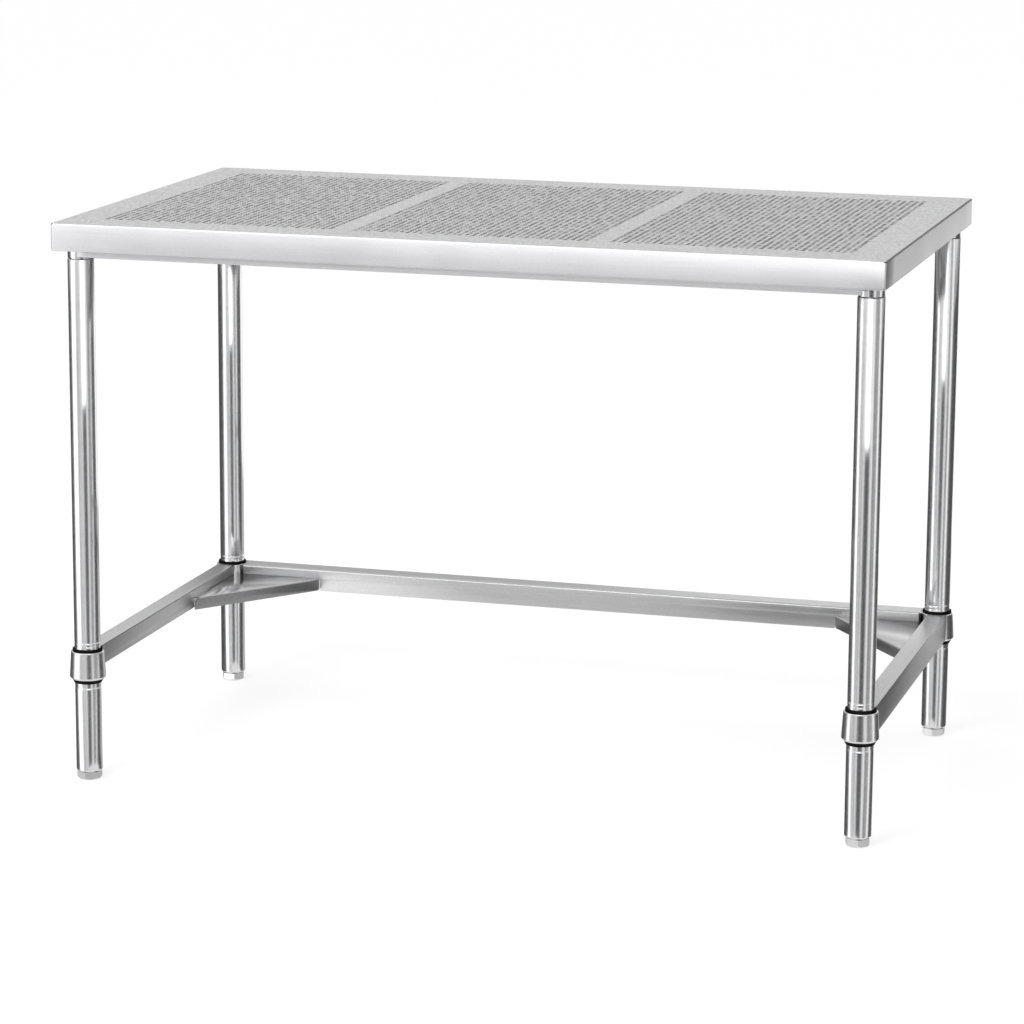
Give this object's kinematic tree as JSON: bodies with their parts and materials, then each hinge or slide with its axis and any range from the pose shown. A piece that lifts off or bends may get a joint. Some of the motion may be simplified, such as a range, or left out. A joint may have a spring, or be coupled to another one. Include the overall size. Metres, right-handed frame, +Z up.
{
  "type": "work table",
  "caption": "Rectangular stainless steel work table with a folded top, round tubular legs, a lower frame open at the front and screw-adjusted feet.",
  "frame": {"origin": "on the floor under the middle of the top", "axes": "+X along the table's length to the right, +Y to the rear rail, +Z up"},
  "size_m": [1.2, 0.7, 0.825],
  "materials": {
    "top_steel": "brushed along the length",
    "frame_steel": "brushed",
    "leg_steel": "bright polished along the tube",
    "turned_steel": "turned and plated",
    "sleeve_plastic": "moulded, black",
    "pad_plastic": "moulded, dark grey"
  },
  "bodies": {
    "table": {"tabletop": "top_steel", "front_stiffener": "top_steel", "rear_stiffener": "top_steel", "cross_stiffener_left": "top_steel", "cross_stiffener_right": "top_steel", "socket_plate_front_left": "frame_steel", "socket_plate_front_right": "frame_steel", "socket_plate_rear_left": "frame_steel", "socket_plate_rear_right": "frame_steel", "socket_spigot_front_left": "turned_steel", "socket_spigot_front_right": "turned_steel", "socket_spigot_rear_left": "turned_steel", "socket_spigot_rear_right": "turned_steel", "leg_front_left": "leg_steel", "leg_front_right": "leg_steel", "leg_rear_left": "leg_steel", "leg_rear_right": "leg_steel", "collar_front_left": "frame_steel", "collar_front_right": "frame_steel", "collar_rear_left": "frame_steel", "collar_rear_right": "frame_steel", "sleeve_front_left_front": "sleeve_plastic", "sleeve_front_left_rear": "sleeve_plastic", "sleeve_front_right_front": "sleeve_plastic", "sleeve_front_right_rear": "sleeve_plastic", "sleeve_rear_left_front": "sleeve_plastic", "sleeve_rear_left_rear": "sleeve_plastic", "sleeve_rear_right_front": "sleeve_plastic", "sleeve_rear_right_rear": "sleeve_plastic", "left_rail": "frame_steel", "right_rail": "frame_steel", "rear_rail": "frame_steel", "rear_rail_stiffener": "frame_steel", "gusset_left": "frame_steel", "gusset_right": "frame_steel", "leg_insert_front_left": "turned_steel", "leg_insert_front_right": "turned_steel", "leg_insert_rear_left": "turned_steel", "leg_insert_rear_right": "turned_steel"},
    "pad_front_left": {"foot_pad_front_left": "pad_plastic"},
    "pad_front_right": {"foot_pad_front_right": "pad_plastic"},
    "pad_rear_left": {"foot_pad_rear_left": "pad_plastic"},
    "pad_rear_right": {"foot_pad_rear_right": "pad_plastic"},
    "screw_front_left": {"adjuster_screw_front_left": "turned_steel"},
    "screw_front_right": {"adjuster_screw_front_right": "turned_steel"},
    "screw_rear_left": {"adjuster_screw_rear_left": "turned_steel"},
    "screw_rear_right": {"adjuster_screw_rear_right": "turned_steel"}
  },
  "joints": [
    {"name": "height_front_left", "type": "slide", "parent": "table", "child": "pad_front_left", "axis": [0, 0, 1], "range_m": [-0.02, 0]},
    {"name": "height_front_right", "type": "slide", "parent": "table", "child": "pad_front_right", "axis": [0, 0, 1], "range_m": [-0.02, 0]},
    {"name": "height_rear_left", "type": "slide", "parent": "table", "child": "pad_rear_left", "axis": [0, 0, 1], "range_m": [-0.02, 0]},
    {"name": "height_rear_right", "type": "slide", "parent": "table", "child": "pad_rear_right", "axis": [0, 0, 1], "range_m": [-0.02, 0]},
    {"name": "turn_front_left", "type": "hinge", "parent": "pad_front_left", "child": "screw_front_left", "pos_m": [-0.5725, -0.3055, 0.006], "axis": [0, 0, 1], "range_deg": [-3600, 0]},
    {"name": "turn_front_right", "type": "hinge", "parent": "pad_front_right", "child": "screw_front_right", "pos_m": [0.5725, -0.3055, 0.006], "axis": [0, 0, 1], "range_deg": [-3600, 0]},
    {"name": "turn_rear_left", "type": "hinge", "parent": "pad_rear_left", "child": "screw_rear_left", "pos_m": [-0.5725, 0.3055, 0.006], "axis": [0, 0, 1], "range_deg": [-3600, 0]},
    {"name": "turn_rear_right", "type": "hinge", "parent": "pad_rear_right", "child": "screw_rear_right", "pos_m": [0.5725, 0.3055, 0.006], "axis": [0, 0, 1], "range_deg": [-3600, 0]}
  ],
  "couplings": [
    {"joint": "turn_front_left", "follows": "height_front_left", "rad_per_m": 3141.6},
    {"joint": "turn_front_right", "follows": "height_front_right", "rad_per_m": 3141.6},
    {"joint": "turn_rear_left", "follows": "height_rear_left", "rad_per_m": 3141.6},
    {"joint": "turn_rear_right", "follows": "height_rear_right", "rad_per_m": 3141.6}
  ]
}
